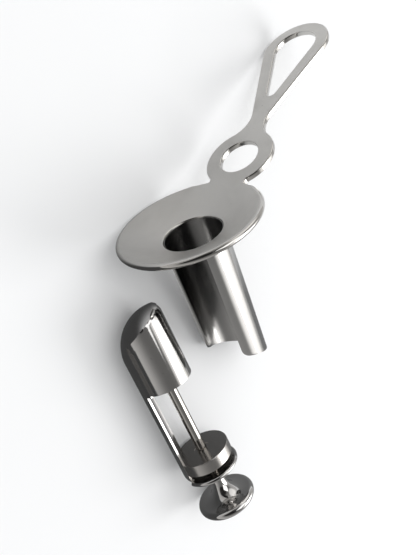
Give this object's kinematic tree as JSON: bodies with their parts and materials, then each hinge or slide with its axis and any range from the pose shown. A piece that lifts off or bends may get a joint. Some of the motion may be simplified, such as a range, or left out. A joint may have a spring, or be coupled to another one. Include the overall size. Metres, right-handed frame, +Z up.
{
  "type": "anal speculum",
  "caption": "Slotted tubular speculum with a dished flange and a ring-and-loop handle, laid beside its bullet-nosed obturator with disc, collar and knob.",
  "frame": {"origin": "centre of the bounding box of both units, at the height of the table they lie on", "axes": "+Z up from the table, +X along the longer side of the layout, from the loop of the handle towards the knob"},
  "size_m": [0.2778, 0.1281, 0.0699],
  "materials": {
    "satin_steel": "satin polished stainless steel with fine smudges",
    "polished_tube": "mirror polished outside, duller inside",
    "mirror_steel": "mirror polished stainless steel",
    "polished_strip": "polished stainless steel with bright edges",
    "turned_steel": "turned face with concentric tool marks",
    "polished_rod": "polished rod",
    "mirror_knob": "mirror polished turned knob"
  },
  "bodies": {
    "root": {"flange_handle": "satin_steel", "barrel": "polished_tube", "obturator_plug": "mirror_steel", "slot_strip": "polished_strip", "centring_disc": "turned_steel", "centre_rod": "polished_rod", "knob": "mirror_knob"}
  },
  "joints": []
}
